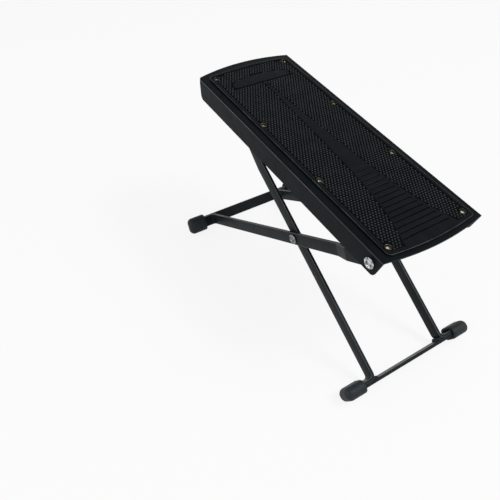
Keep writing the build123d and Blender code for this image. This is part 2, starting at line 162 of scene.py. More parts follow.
# Frames, side to side
sheet = 1.5 * mm
bar_width = 12.5 * mm
bar_thick = 3 * mm
spacer_thick = 0.8 * mm
side_clearance = 0.1 * mm
stand_off = 3.7 * mm              # how far the outer leg's joggle brings it in
rod_stand_off = 3 * mm            # and the inner leg's, towards the rod
bar_edge = 0.45 * mm
eye_start = 0.12                  # radians round the eye end at which a bar starts
joggle_start = 34 * mm            # along the outer leg, from the hinge axis
joggle_end = 50 * mm
joggle_radius = 6 * mm
rod_joggle_start = 80 * mm        # along the inner leg, from the scissor axis towards the rod
rod_joggle_end = 118 * mm
rod_joggle_radius = 30 * mm
tab_bend = 4.5 * mm               # bend to the tab inside the rubber foot, on the bar's middle line
tab_reach = 28.5 * mm             # tab's end beyond the leg's outer face
outer_foot_reach = 183 * mm       # scissor axis to the rubber feet
inner_foot_reach = 152 * mm
foot_offset = 12 * mm             # leg's outer face to the mouth of the rubber foot
foot_round = 6 * mm
foot_least_round = 0.3 * mm
foot_dome = 5.6 * mm
foot_length = 21.5 * mm
foot_thick = 13 * mm
foot_wide = 19.5 * mm

# Studio: the backdrop's heights are the upward parts of a direction of length 1
floor_reach = 6.0
floor_colour = (0.80, 0.80, 0.80, 1)
floor_roughness = 0.9
floor_white_share = 0.87
ambient_strength = 0.42
backdrop_top = 0.3
backdrop_strength = 0.9
ceiling_start = 0.7
ceiling_strength = 0.25

# Camera, from a fit to the photograph: metres from the hinge, and degrees
camera_aim = np.array([-140.23, -76.85, -83.51]) * mm
camera_azimuth = 146.564
camera_elevation = -41.982
camera_roll = -0.785
camera_distance = 571.9 * mm
camera_focal_share = 1.11414      # focal length over the sensor's width

# Derived places
half_width = plate_width / 2
toe_x = heel_x - plate_length
mat_half = half_width - mat_side_inset
mat_heel_x = heel_x - mat_heel_inset
mat_toe_x = toe_x + mat_toe_inset
mat_top = tread_z + mat_thick
mat_floor = mat_top - stud_height
groove_first_x = heel_x - groove_first
band_heel_x = toe_x + band_toe_inset + band_width
rivet_row = mat_half - rivet_side_inset
rivet_first_x = mat_heel_x - rivet_heel_inset
rivet_last_x = mat_toe_x + rivet_toe_inset
outer_upper_face = half_width - sheet - spacer_thick - side_clearance
outer_lower_face = outer_upper_face - stand_off
inner_face = outer_lower_face - bar_thick - spacer_thick - side_clearance

# Painted highlight line under the plate's folds: its heights, where it starts across the width and its fade
fold_line_low = tread_z - 2 * mm
fold_line_high = tread_z - 1 * mm
fold_line_side = half_width - 0.8 * mm
fold_line_soft = 0.2 * mm
speck_share = 3                   # how much paler than the enamel its specks are

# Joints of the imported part: the slopes of the three bodies at rest follow from them
joints = {joint["name"]: joint for joint in frame["joints"]}
hinge = np.array(joints["outer_fold"]["pos_m"])
scissor = np.array(joints["scissor"]["pos_m"])
setting_angle = joints["outer_fold"]["range_deg"][1]
coupling = frame["record"]["behaviour"]["couplings"][0]
inner_share = -coupling["ratio"] - 1
hinge_to_scissor = np.hypot(*(hinge - scissor)[[0, 2]])
outer_slope = degrees(atan2(hinge[2] - scissor[2], hinge[0] - scissor[0]))
tilt = setting_angle - outer_slope
inner_slope = inner_share * setting_angle + tilt


def placed(points, origin, slope):
    """Points of a body's own frame, turned about Y by the body's slope and moved to its origin."""
    turn = radians(slope)
    x, y, z = points[..., 0], points[..., 1], points[..., 2]
    turned = np.stack([x * cos(turn) + z * sin(turn), y, z * cos(turn) - x * sin(turn)], -1)
    return turned + origin


def on_plate(points):
    """Points of the plate's frame, placed."""
    return placed(points, hinge, tilt)


def on_outer(points):
    """Points of the outer frame's frame, placed."""
    return placed(points, hinge, -outer_slope)


def on_inner(points):
    """Points of the inner frame's frame, placed."""
    return placed(points, scissor, inner_slope)


def grid_faces(rows, columns, wrap=False):
    """Quads of a grid whose points are stored row by row; wrap joins the last column to the first."""
    row = np.arange(rows - 1)[:, None] * columns
    column = np.arange(columns if wrap else columns - 1)[None, :]
    after = (column + 1) % columns
    quads = np.stack(np.broadcast_arrays(
        row + column, row + after, row + columns + after, row + columns + column), -1)
    return quads.reshape(-1, 4)


def make_piece(name, points, faces, material, body):
    """A smooth-shaded mesh object from points and a list of face arrays, riding on a body."""
    mesh = bpy.data.meshes.new(name)
    mesh.from_pydata(points.reshape(-1, 3).tolist(), [], [face.tolist() for face in faces])
    mesh.update()
    mesh.polygons.foreach_set("use_smooth", np.full(len(mesh.polygons), True))
    mesh.materials.append(material)
    piece = bpy.data.objects.new(name, mesh)
    bpy.context.scene.collection.objects.link(piece)
    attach(piece, body)
    return piece


def keep_edges(piece, angle=40):
    """Shading stays smooth over gentle turns and sharp over turns past the angle."""
    piece.data.set_sharp_from_angle(angle=radians(angle))


def handed(faces, side):
    """Faces turned over for the left side, whose points are a mirror image."""
    return faces if side > 0 else [face[::-1] for face in faces]


def loft(loops):
    """A closed solid from loops of equal count: quads between neighbours, one flat face at each end."""
    rows, columns = loops.shape[:2]
    faces = list(grid_faces(rows, columns, wrap=True))
    faces.append(np.arange(columns)[::-1])
    faces.append(np.arange(columns) + (rows - 1) * columns)
    return loops.reshape(-1, 3), faces


def joined(parts):
    """Several (points, faces) as one, the faces' numbers moved on past the points before them."""
    points = []
    faces = []
    start = 0
    for part_points, part_faces in parts:
        points.append(part_points)
        faces.extend(face + start for face in part_faces)
        start += len(part_points)
    return np.concatenate(points), faces


def rounded_rectangle(half_x, half_y, radius, steps_x, steps_y, corner_steps=8):
    """Closed loop, anticlockwise: four straight sides, each followed by a quarter circle."""
    inner_x, inner_y = half_x - radius, half_y - radius
    pieces = []
    for turn, (reach, run, steps) in enumerate((
        (half_x, inner_y, steps_y), (half_y, inner_x, steps_x),
        (half_x, inner_y, steps_y), (half_y, inner_x, steps_x),
    )):
        along = np.linspace(-run, run, steps, endpoint=False)
        straight = np.stack([np.full(steps, reach), along], -1)
        angle = np.linspace(0, np.pi / 2, corner_steps, endpoint=False)
        corner = np.stack([reach - radius + radius * np.cos(angle), run + radius * np.sin(angle)], -1)
        side = np.concatenate([straight, corner])
        quarter = turn * np.pi / 2
        rotation = np.array([[cos(quarter), sin(quarter)], [-sin(quarter), cos(quarter)]])
        pieces.append(side @ rotation)
    return np.concatenate(pieces)


def turned(profile, angle):
    """Rings of points: a profile of (radius, height), turned to each angle about Z."""
    radius, height = profile[:, :1], np.broadcast_to(profile[:, 1:], (len(profile), len(angle)))
    return np.stack([radius * np.cos(angle), radius * np.sin(angle), height], -1)


def revolved(profile, steps):
    """A closed solid turned from a profile whose first and last points lie on the axis."""
    rings = turned(profile[1:-1], np.linspace(0, 2 * np.pi, steps, endpoint=False))
    count = rings.shape[0] * steps
    ends = np.array([[0, 0, profile[0, 1]], [0, 0, profile[-1, 1]]])
    points = np.concatenate([rings.reshape(-1, 3), ends])
    around = np.arange(steps)
    after = (around + 1) % steps
    first = np.stack([after, around, np.full(steps, count)], -1)
    top = count - steps
    last = np.stack([top + around, top + after, np.full(steps, count + 1)], -1)
    return points, list(grid_faces(rings.shape[0], steps, wrap=True)) + list(first) + list(last)


def turned_ring(profile, steps):
    """A closed ring turned from a closed profile, none of it on the axis."""
    rings = turned(profile, np.linspace(0, 2 * np.pi, steps, endpoint=False))
    faces = grid_faces(len(profile) + 1, steps, wrap=True) % (len(profile) * steps)
    return rings.reshape(-1, 3), list(faces)


def smooth_step(x):
    """Cubic ease from 0 at 0 to 1 at 1."""
    x = np.clip(x, 0, 1)
    return x * x * (3 - 2 * x)


# Materials

class Nodes:
    """One material with its shader, and short ways to build its node tree."""

    def __init__(self, name):
        self.material = bpy.data.materials.new(name)
        self.material.use_nodes = True
        self.tree = self.material.node_tree
        self.shader = self.tree.nodes["Principled BSDF"]
        self.place = self.tree.nodes.new("ShaderNodeTexCoord").outputs["Object"]

    def fix(self, **values):
        """Values that are the same all over, on the shader's own sockets."""
        for name, value in values.items():
            self.shader.inputs[name.replace("_", " ")].default_value = value

    def link(self, output, name):
        """An output led to one of the shader's sockets."""
        self.tree.links.new(output, self.shader.inputs[name])

    def noise(self, size, detail=2.0, roughness=0.5):
        """Noise whose features are about this many metres across."""
        noise = self.tree.nodes.new("ShaderNodeTexNoise")
        noise.inputs["Scale"].default_value = 1 / size
        noise.inputs["Detail"].default_value = detail
        noise.inputs["Roughness"].default_value = roughness
        self.tree.links.new(self.place, noise.inputs["Vector"])
        return noise.outputs["Fac"]

    def ramp(self, factor, *stops):
        """A colour ramp between two (position, (r, g, b)) stops."""
        ramp = self.tree.nodes.new("ShaderNodeValToRGB")
        elements = ramp.color_ramp.elements
        for element, (position, colour) in zip(elements, stops):
            element.position = position
            element.color = (*colour, 1)
        self.tree.links.new(factor, ramp.inputs["Fac"])
        return ramp.outputs["Color"]

    def spread(self, factor, low, high, source=(0.3, 0.7)):
        """The factor, taken from the source range to the range low to high."""
        scale = self.tree.nodes.new("ShaderNodeMapRange")
        for name, value in zip(("From Min", "From Max", "To Min", "To Max"), (*source, low, high)):
            scale.inputs[name].default_value = value
        self.tree.links.new(factor, scale.inputs["Value"])
        return scale.outputs["Result"]

    def mix(self, factor, colour, over):
        """A colour, given way to another one, (r, g, b), where the factor is 1."""
        mix = self.tree.nodes.new("ShaderNodeMix")
        mix.data_type = "RGBA"
        self.tree.links.new(factor, mix.inputs["Factor"])
        self.tree.links.new(colour, mix.inputs["A"])
        mix.inputs["B"].default_value = (*over, 1)
        return mix.outputs["Result"]

    def product(self, first, second):
        """One factor times the other."""
        times = self.tree.nodes.new("ShaderNodeMath")
        times.operation = "MULTIPLY"
        self.tree.links.new(first, times.inputs[0])
        self.tree.links.new(second, times.inputs[1])
        return times.outputs["Value"]

    def plate_height_and_side(self):
        """Height above the hinge axis and distance from the middle plane, in the plate's frame."""
        mapping = self.tree.nodes.new("ShaderNodeMapping")
        mapping.vector_type = "TEXTURE"
        mapping.inputs["Location"].default_value = hinge.tolist()
        mapping.inputs["Rotation"].default_value = (0, radians(tilt), 0)
        self.tree.links.new(self.place, mapping.inputs["Vector"])
        parts = self.tree.nodes.new("ShaderNodeSeparateXYZ")
        self.tree.links.new(mapping.outputs["Vector"], parts.inputs["Vector"])
        side = self.tree.nodes.new("ShaderNodeMath")
        side.operation = "ABSOLUTE"
        self.tree.links.new(parts.outputs["Y"], side.inputs[0])
        return parts.outputs["Z"], side.outputs["Value"]

    def bump(self, height, depth, strength=1.0):
        """Relief of the given depth in metres."""
        bump = self.tree.nodes.new("ShaderNodeBump")
        bump.inputs["Distance"].default_value = depth
        bump.inputs["Strength"].default_value = strength
        self.tree.links.new(height, bump.inputs["Height"])
        self.link(bump.outputs["Normal"], "Normal")


def fold_highlight_line(nodes):
    """Factor of a painted highlight line under each of the plate's folds, broken into patches: a band of
    heights, only out by the flanges, in the plate's frame."""
    height, side = nodes.plate_height_and_side()
    soft = fold_line_soft
    above = nodes.spread(height, 0, 1, source=(fold_line_low, fold_line_low + soft))
    below = nodes.spread(height, 1, 0, source=(fold_line_high - soft, fold_line_high))
    outside = nodes.spread(side, 0, 1, source=(fold_line_side, fold_line_side + soft))
    patches = nodes.spread(nodes.noise(60 * mm, detail=3.0), 0.5, 1.0, source=(0.44, 0.56))
    return nodes.product(nodes.product(above, below), nodes.product(outside, patches))


def enamel(name, dark, light, gloss, specular, fold_highlight=None):
    """Baked satin enamel: orange peel, cloudy gloss and a faint dust of paler specks, and where a
    highlight colour is given, a fine painted highlight line of it under the plate's folds."""
    nodes = Nodes(name)
    clouds = nodes.noise(25 * mm, detail=4.0)
    colour = nodes.ramp(clouds, (0.35, dark), (0.65, light))
    specks = nodes.spread(nodes.noise(0.7 * mm, detail=1.0), 0, 0.5, source=(0.70, 0.78))
    colour = nodes.mix(specks, colour, tuple(speck_share * channel for channel in light))
    if fold_highlight:
        # Painted highlight: a pale line under the folds
        colour = nodes.mix(fold_highlight_line(nodes), colour, fold_highlight)
    nodes.link(colour, "Base Color")
    scuffs = nodes.noise(9 * mm, detail=5.0, roughness=0.6)
    nodes.link(nodes.spread(scuffs, gloss - 0.06, gloss + 0.07), "Roughness")
    nodes.fix(Specular_IOR_Level=specular)
    nodes.bump(nodes.noise(0.9 * mm, detail=2.0), 0.02 * mm, 0.5)
    return nodes.material


def rubber(name, dark, light, gloss, specular, grain=0.5 * mm):
    """Moulded rubber: fine grain, uneven sheen and a little dust that settles in clouds."""
    nodes = Nodes(name)
    clouds = nodes.noise(14 * mm, detail=5.0, roughness=0.6)
    nodes.link(nodes.ramp(clouds, (0.35, dark), (0.68, light)), "Base Color")
    sheen = nodes.noise(3 * mm, detail=4.0)
    nodes.link(nodes.spread(sheen, gloss - 0.08, gloss + 0.08), "Roughness")
    nodes.fix(Specular_IOR_Level=specular)
    nodes.bump(nodes.noise(grain, detail=3.0), 0.03 * mm, 0.6)
    return nodes.material


def plated(name, dark, light, gloss, dent):
    """Plated metal: cloudy plating, fine grain and shallow dents from forming, about dent across."""
    nodes = Nodes(name)
    clouds = nodes.noise(2.2 * mm, detail=4.0)
    nodes.link(nodes.ramp(clouds, (0.38, dark), (0.62, light)), "Base Color")
    grain = nodes.noise(1.1 * mm, detail=3.0)
    nodes.link(nodes.spread(grain, gloss - 0.08, gloss + 0.12), "Roughness")
    nodes.fix(Metallic=1.0)
    nodes.bump(nodes.noise(dent, detail=3.0), 0.12 * mm, 0.7)
    return nodes.material


# Finishes: dark and light colour, gloss (roughness), then the specular level or the size of the dents
# Pale colour of the painted highlight line under the plate's folds
fold_highlight_colour = (0.1156, 0.1276, 0.1344)
plate_paint = enamel(
    "plate_enamel", (0.0046, 0.0062, 0.0080), (0.0068, 0.0088, 0.0112), 0.40, 0.05, fold_highlight_colour)
frame_paint = enamel("frame_enamel", (0.0120, 0.0150, 0.0168), (0.0165, 0.0202, 0.0224), 0.34, 0.054)
# Much paler enamel on the bars' rounded edges: a painted highlight
edge_highlight_paint = enamel("edge_highlight_enamel", (0.066, 0.073, 0.078), (0.094, 0.102, 0.107), 0.26, 0.16)
mat_rubber = rubber("mat_rubber", (0.0044, 0.0057, 0.0072), (0.0068, 0.0084, 0.0102), 0.45, 0.06)
# Darker, duller rubber for the floor between the studs and the grooves' valleys: painted shade
hollow_rubber = rubber("hollow_rubber", (0.0028, 0.0036, 0.0046), (0.0046, 0.0058, 0.0070), 0.70, 0.02)
# Much paler rubber on the rim's outer edge: a painted highlight
worn_rubber = rubber("worn_rubber", (0.018, 0.020, 0.023), (0.078, 0.083, 0.088), 0.42, 0.12)
# Paler rubber on the studs' crowns and shoulders: a painted highlight
stud_crown_highlight = rubber("stud_crown_highlight", (0.022, 0.025, 0.029), (0.033, 0.037, 0.042), 0.46, 0.12)
foot_rubber = rubber("foot_rubber", (0.021, 0.0245, 0.0275), (0.031, 0.0355, 0.039), 0.50, 0.14, 0.6 * mm)
hinge_zinc = plated("hinge_zinc", (0.055, 0.060, 0.063), (0.66, 0.68, 0.69), 0.18, 2.4 * mm)
cross_zinc = plated("cross_zinc", (0.035, 0.038, 0.040), (0.28, 0.293, 0.298), 0.22, 1.8 * mm)
plain_zinc = plated("plain_zinc", (0.20, 0.21, 0.22), (0.36, 0.37, 0.38), 0.38, 1.2 * mm)
rivet_metal = plated("eyelet_metal", (0.042, 0.037, 0.027), (0.120, 0.108, 0.082), 0.26, 1.0 * mm)
# Far brighter metal in the eyelets' bores: a painted highlight
bore_highlight_metal = plated("bore_highlight_metal", (0.74, 0.71, 0.63), (0.92, 0.90, 0.83), 0.24, 1.0 * mm)

# The record's material slots and their finishes
materials = {
    "plate_paint": plate_paint,
    "frame_paint": frame_paint,
    "mat_rubber": mat_rubber,
    "foot_rubber": foot_rubber,
    "zinc_rivet": hinge_zinc,
    "zinc_plain": plain_zinc,
    "mat_rivet_metal": rivet_metal,
}


def dress_cad_nodes():
    """Every packed steel part gets the finish that its record names."""
    for node in frame["nodes"].values():
        for place in node.material_slots:
            slot = place.material.name.split(".")[0]
            place.material = materials[slot]


# Tread mat

def rivet_places():
    """(x, y) of the eight mat rivets in the plate's frame."""
    x = np.repeat(np.linspace(rivet_first_x, rivet_last_x, rivets_per_row), 2)
    y = np.tile([-rivet_row, rivet_row], rivets_per_row)
    return np.stack([x, y], -1)


def mat_loop(inset):
    """The mat's outline drawn in by inset: a rounded rectangle whose ends bow out as parabolas."""
    middle = (mat_heel_x + mat_toe_x) / 2
    half_x = (mat_heel_x - mat_toe_x) / 2 - inset
    half_y = mat_half - inset
    corner = max(mat_corner - inset, mat_least_corner)
    loop = rounded_rectangle(half_x, half_y, corner, steps_x=264, steps_y=86)
    bow = mat_bow * (1 - (loop[:, 1] / half_y) ** 2) * loop[:, 0] / half_x
    return np.stack([loop[:, 0] + bow + middle, loop[:, 1]], -1)


def around_rivets(loop, radius):
    """Points of a loop near a rivet move out across the mat, to a circle round the rivet."""
    for x, y in rivet_places():
        side = np.sign(y)
        reach = radius ** 2 - (loop[:, 0] - x) ** 2
        circle = abs(y) + np.sqrt(np.maximum(reach, 0))
        near = (reach > 0) & (loop[:, 1] * side > 0)
        loop[near, 1] = side * np.maximum(np.abs(loop[near, 1]), circle[near])
    return loop


def mat_base():
    """Rim profile carried round the mat's outline, closed by the flat floor between the studs, with a
    round hole at each rivet. The rim's inner side goes round the rivets' recesses. Each face's finish
    is 0 plain, 1 on the floor with painted shade, 2 on the rim's outer edge with a painted highlight."""
    outer_side = (
        (0.55 * mm, -mat_thick), (0.35 * mm, -1.1 * mm), (0.0, -0.8 * mm), (0.0, -0.45 * mm),
        (0.12 * mm, -0.16 * mm), (0.42 * mm, -0.02 * mm),
    )
    bead_and_wall = (
        (1.9 * mm, -0.02 * mm), (2.02 * mm, 0.16 * mm), (2.2 * mm, 0.16 * mm), (2.32 * mm, -0.02 * mm),
        (rim_width - 0.3 * mm, -0.02 * mm), (rim_width, -0.15 * mm), (rim_width + 0.2 * mm, -stud_height),
    )
    loops = [mat_loop(inset) for inset, _ in outer_side]
    for step, (inset, _) in enumerate(bead_and_wall):
        spread = recess_radius + recess_slope * (len(bead_and_wall) - step)
        loops.append(around_rivets(mat_loop(inset), spread))
    count = len(loops[0])
    heights = [mat_top + drop for _, drop in outer_side + bead_and_wall]
    loops = [np.column_stack([loop, np.full(count, height)]) for loop, height in zip(loops, heights)]
    points, faces = loft(np.stack(loops))
    finish = np.zeros(len(faces), dtype=int)
    last_outer_step = len(outer_side) - 1
    # The rim's outer edge takes the paler rubber: a painted highlight
    finish[(last_outer_step - rim_highlight_steps) * count:last_outer_step * count] = 2
    # The floor face, the last, takes the darker rubber: painted shade
    finish[-1] = 1
    return bored(points, faces, finish)


def loose_object(name, points, faces, finishes):
    """A mesh object for a cut, which rides on nothing and is removed after it."""
    mesh = bpy.data.meshes.new(name)
    mesh.from_pydata(points.tolist(), [], [face.tolist() for face in faces])
    for material in finishes:
        mesh.materials.append(material)
    piece = bpy.data.objects.new(name, mesh)
    bpy.context.scene.collection.objects.link(piece)
    return piece


def bored(points, faces, finish):
    """The mat's base with the rivets' holes cut through it: points, faces and finishes."""
    finishes = (mat_rubber, hollow_rubber, worn_rubber)
    wall = np.array([[0, -1], [1, -1], [1, 1], [0, 1]]) * [mat_hole, 2 * mat_thick]
    hole, hole_faces = revolved(wall, steps=32)
    holes = joined([(hole + [x, y, tread_z], hole_faces) for x, y in rivet_places()])
    base = loose_object("mat_base", points, faces, finishes)
    drill = loose_object("mat_holes", *holes, finishes)
    base.data.polygons.foreach_set("material_index", finish)
    cut = base.modifiers.new("holes", "BOOLEAN")
    cut.operation = "DIFFERENCE"
    cut.solver = "EXACT"
    cut.object = drill
    done = bpy.data.meshes.new_from_object(base.evaluated_get(bpy.context.evaluated_depsgraph_get()))
    points = np.array([vertex.co for vertex in done.vertices], dtype=float)
    faces = [np.array(face.vertices) for face in done.polygons]
    finish = np.array([face.material_index for face in done.polygons])
    for piece in (base, drill):
        mesh = piece.data
        bpy.data.objects.remove(piece)
        bpy.data.meshes.remove(mesh)
    bpy.data.meshes.remove(done)
    return points, faces, finish


def wedge_half(x):
    """Half width of the smooth wedge: a straight taper with a flare towards the heel."""
    share = (x - band_heel_x) / (groove_first_x - band_heel_x)
    return wedge_tip + wedge_taper * share + wedge_flare * share ** wedge_flare_power


def groove_drop(x, from_edge):
    """Depth of the cross grooves: a cosine valley at each station, shallower towards the high end,
    running out as a smooth step near the wedge's edges."""
    turn = np.clip(np.rint((groove_first_x - x) / groove_pitch), 0, groove_count - 1)
    away = np.abs(x - (groove_first_x - turn * groove_pitch)) / groove_half
    valley = 0.5 + 0.5 * np.cos(np.pi * np.minimum(away, 1))
    fade = 1 - (turn / groove_count) ** groove_fade_power
    ends = smooth_step((from_edge - groove_end) / groove_end_length + 0.5)
    return groove_depth * valley ** groove_roundness * fade * ends


def mat_wedge():
    """Height grid over (along, across): across follows the wedge's half width, with columns
    gathered at its rounded walls and at the ends of the grooves. Also tells which faces lie deep in
    the grooves and get painted shade."""
    heel_end = mat_heel_x - wedge_heel_inset
    grooves_end = groove_first_x - groove_count * groove_pitch
    grooved = np.arange(groove_first_x + wedge_land, grooves_end, -wedge_row)
    plain = np.linspace(grooved[-1], band_heel_x + wedge_tip_gap, 70)[1:]
    heel = np.linspace(heel_end, grooved[0], 12)[:-1]
    x_row = np.concatenate([heel, grooved, plain])
    edge = np.array([-0.25, 0.0, 0.2, 0.45, 0.7, 0.95, 1.2, 1.5, 1.9, 2.2, 2.5, 2.8, 3.1, 3.5]) * mm
    drop_at_edge = np.zeros(len(edge))
    drop_at_edge[:4] = stud_height + wedge_root, 0.5 * mm, 0.14 * mm, 0.02 * mm
    inner_columns = np.linspace(1, 0, 9)[1:]
    half = wedge_half(x_row)[:, None]
    limit = half * np.linspace(1, wedge_edge_share, len(edge))
    y_edge = np.maximum(half - edge, limit)
    y_edge[:, :2] = half - edge[:2]
    y_half = np.concatenate([y_edge, y_edge[:, -1:] * inner_columns], 1)
    y = np.concatenate([y_half, -y_half[:, -2::-1]], 1)
    drop_half = np.concatenate([drop_at_edge, np.zeros(len(inner_columns))])
    drop = np.concatenate([drop_half, drop_half[-2::-1]])[None, :]
    bow_share = smooth_step((x_row - groove_first_x - bow_start) / (heel_end - groove_first_x))
    x = x_row[:, None] + mat_bow * (1 - (y / mat_half) ** 2) * bow_share[:, None]
    from_edge = half - np.abs(y)
    from_edge = np.where(y < 0, from_edge + groove_end - groove_end_left, from_edge)
    depth = groove_drop(x_row[:, None], from_edge)
    top = np.stack([x, y, mat_top - drop - depth], -1)
    points, faces = closed_relief(top, mat_floor - wedge_root)
    depth = (depth[1:, 1:] + depth[1:, :-1] + depth[:-1, 1:] + depth[:-1, :-1]) / 4
    # Faces deep in the grooves take the darker rubber: painted shade
    hollow = np.zeros(len(faces), dtype=int)
    hollow[:depth.size] = depth.ravel() > hollow_share * groove_depth
    return points, faces, hollow


def closed_relief(top, base_z):
    """A relief grid closed by a flat base: the grid, a skirt round it and one face below."""
    rows, columns = top.shape[:2]
    border = np.concatenate([
        np.arange(columns), np.arange(1, rows) * columns + columns - 1,
        (rows - 1) * columns + np.arange(columns - 2, -1, -1), np.arange(rows - 2, 0, -1) * columns,
    ])
    points = top.reshape(-1, 3)
    base = points[border].copy()
    base[:, 2] = base_z
    start = len(points)
    after = np.roll(border, -1)
    low = start + np.arange(len(border))
    low_after = np.roll(low, -1)
    skirt = np.stack([border, after, low_after, low], -1)
    faces = list(grid_faces(rows, columns)[:, ::-1]) + list(skirt[:, ::-1]) + [low]
    return np.concatenate([points, base]), faces


def band_loop(inset):
    """The band's outline: a rounded rectangle whose side towards the high end bows out."""
    depth = band_width - band_bow
    middle = band_heel_x - depth / 2
    half_x, half_y = depth / 2 - inset, band_half_length - inset
    loop = rounded_rectangle(half_x, half_y, band_corner - inset, 4, 60)
    bow = band_bow * (1 - (loop[:, 1] / half_y) ** 2) * (half_x - loop[:, 0]) / (2 * half_x)
    return np.stack([loop[:, 0] - bow + middle, loop[:, 1]], -1)


def mat_band():
    """Rounded-edge profile carried round the band's outline, with a flat top."""
    profile = ((-0.15 * mm, -stud_height - wedge_root), (0.0, -0.3 * mm), (0.12 * mm, -0.08 * mm),
               (0.35 * mm, 0.0), (1.0 * mm, 0.02 * mm))
    loops = []
    for inset, rise in profile:
        loop = band_loop(inset)
        loops.append(np.column_stack([loop, np.full(len(loop), mat_top + rise)]))
    return loft(np.stack(loops))


def stud_places():
    """(x, y) of the studs: staggered rows over the mat, without the wedge, band and rivets."""
    rows = int((mat_heel_x - mat_toe_x) / stud_row_pitch) + 4
    columns = int(2 * mat_half / stud_pitch) + 2
    row, column = np.mgrid[0:rows, -columns // 2:columns // 2 + 1]
    x = (mat_heel_x + mat_bow - row * stud_row_pitch).ravel()
    y = ((column + 0.5 * (row % 2)) * stud_pitch).ravel()
    clear = rim_width + stud_to_rim
    bow = mat_bow * (1 - (y / mat_half) ** 2)
    inside = np.abs(y) < mat_half - clear - stud_to_side
    inside &= (x < mat_heel_x + bow - clear - stud_to_end) & (x > mat_toe_x - bow + clear + stud_to_end)
    from_ends = np.minimum(mat_heel_x - x, x - mat_toe_x)
    inside &= from_ends + mat_half - np.abs(y) > 2 * clear + stud_to_corner
    on_wedge = np.abs(y) < wedge_half(np.maximum(x, band_heel_x)) + stud_to_wedge
    inside &= ~(on_wedge & (x > band_heel_x))
    band_far = band_heel_x - (band_width - band_bow) - band_bow * (1 - (y / band_half_length) ** 2)
    on_band = (np.abs(y) < band_half_length + stud_to_band) & (x < band_heel_x + stud_to_band)
    inside &= ~(on_band & (x > band_far - stud_to_band))
    places = np.stack([x, y], -1)
    gap = np.linalg.norm(places[:, None] - rivet_places()[None], axis=2).min(1)
    inside &= gap > recess_radius + stud_to_recess
    return places[inside]


def mat_studs():
    """One stud, a lofted eight-sided button with a soft crown, set at every place at once. Its
    profile is (radius, height over the floor). Also tells which faces get the paler rubber, a painted
    highlight: crown and shoulder."""
    profile = np.array([[1.18, -0.08], [1.1, 0.12], [0.92, 0.62], [0.74, 0.84], [0.42, 0.93]]) * mm
    crown_highlight_rows = np.array([0, 0, 1, 1])
    rings = turned(profile, (np.arange(stud_sides) + 0.5) * 2 * np.pi / stud_sides)
    places = stud_places()
    shift = np.column_stack([places, np.full(len(places), mat_floor)])
    points = rings.reshape(1, -1, 3) + shift[:, None, :]
    one = len(profile) * stud_sides
    starts = np.arange(len(places))[:, None, None] * one
    quads = (grid_faces(len(profile), stud_sides, wrap=True)[None] + starts).reshape(-1, 4)
    crown = np.arange(stud_sides) + one - stud_sides
    foot = np.arange(stud_sides)[::-1]
    caps = (np.stack([crown, foot])[None] + starts).reshape(-1, stud_sides)
    crown_highlight_quads = np.tile(np.repeat(crown_highlight_rows, stud_sides), len(places))
    crown_highlight_caps = np.tile([1, 0], len(places))
    return points.reshape(-1, 3), list(quads) + list(caps), np.concatenate([crown_highlight_quads, crown_highlight_caps])


def tread():
    """The whole mat: rim and floor, wedge, band and studs. The floor between the studs and the
    grooves' valleys are duller and darker, painted shade, the rim's edge is paler, a painted
    highlight, and the studs' crowns are paler, a painted highlight."""
    base_points, base_faces, base_finish = mat_base()
    wedge_points, wedge_faces, in_groove = mat_wedge()
    points, faces = joined([(base_points, base_faces), (wedge_points, wedge_faces), mat_band()])
    mat = make_piece("tread_mat_rubber", on_plate(points), faces, mat_rubber, "plate")
    finish = np.zeros(len(faces), dtype=int)
    finish[:len(base_faces)] = base_finish
    finish[len(base_faces):len(base_faces) + len(wedge_faces)] = in_groove
    # Darker rubber for painted shade, paler rubber for a painted highlight
    for material in (hollow_rubber, worn_rubber):
        mat.data.materials.append(material)
    mat.data.polygons.foreach_set("material_index", finish)
    keep_edges(mat)
    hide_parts("tread_mat")
    points, faces, crown_highlight = mat_studs()
    studs = make_piece("tread_studs", on_plate(points), faces, mat_rubber, "plate")
    # Crowns and shoulders take the paler rubber: a painted highlight
    studs.data.materials.append(stud_crown_highlight)
    studs.data.polygons.foreach_set("material_index", crown_highlight)
    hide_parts("tread_mat")


def eyelet():
    """Hollow rivet, open from end to end: a rolled ring, half a circle flattened to height, a bore
    that narrows to the sheet's hole, and a smaller roll under the sheet. Also tells which faces are
    in the bore, the first of them past its lip and the last on the middle of the roll below."""
    sweep = np.linspace(0, np.pi, 13)
    middle = (rivet_radius + eye_radius) / 2
    roll = (rivet_radius - eye_radius) / 2
    rise = (rivet_height - rivet_rim) * np.sin(sweep)
    ring = np.stack([middle + roll * np.cos(sweep), rivet_rim + rise], -1)
    under = -rivet_seat - sheet
    bore = np.array([[eye_radius - eye_lip, -2 * eye_lip], [bore_radius, -rivet_seat], [bore_radius, under]])
    tail_middle = (rivet_tail_radius + bore_radius) / 2
    tail_roll = (rivet_tail_radius - bore_radius) / 2
    tail = np.stack([tail_middle - tail_roll * np.cos(sweep), under - rivet_tail * np.sin(sweep)], -1)[1:]
    outside = np.array([[shank_radius, under], [shank_radius, 0], [rivet_radius, 0]])
    points, faces = turned_ring(np.concatenate([ring, bore, tail, outside]), eyelet_steps)
    in_bore = np.zeros((len(faces) // eyelet_steps, eyelet_steps), dtype=int)
    in_bore[len(ring) + 1:len(ring) + len(bore) + len(tail) // 2] = 1
    return points, faces, in_bore.ravel()


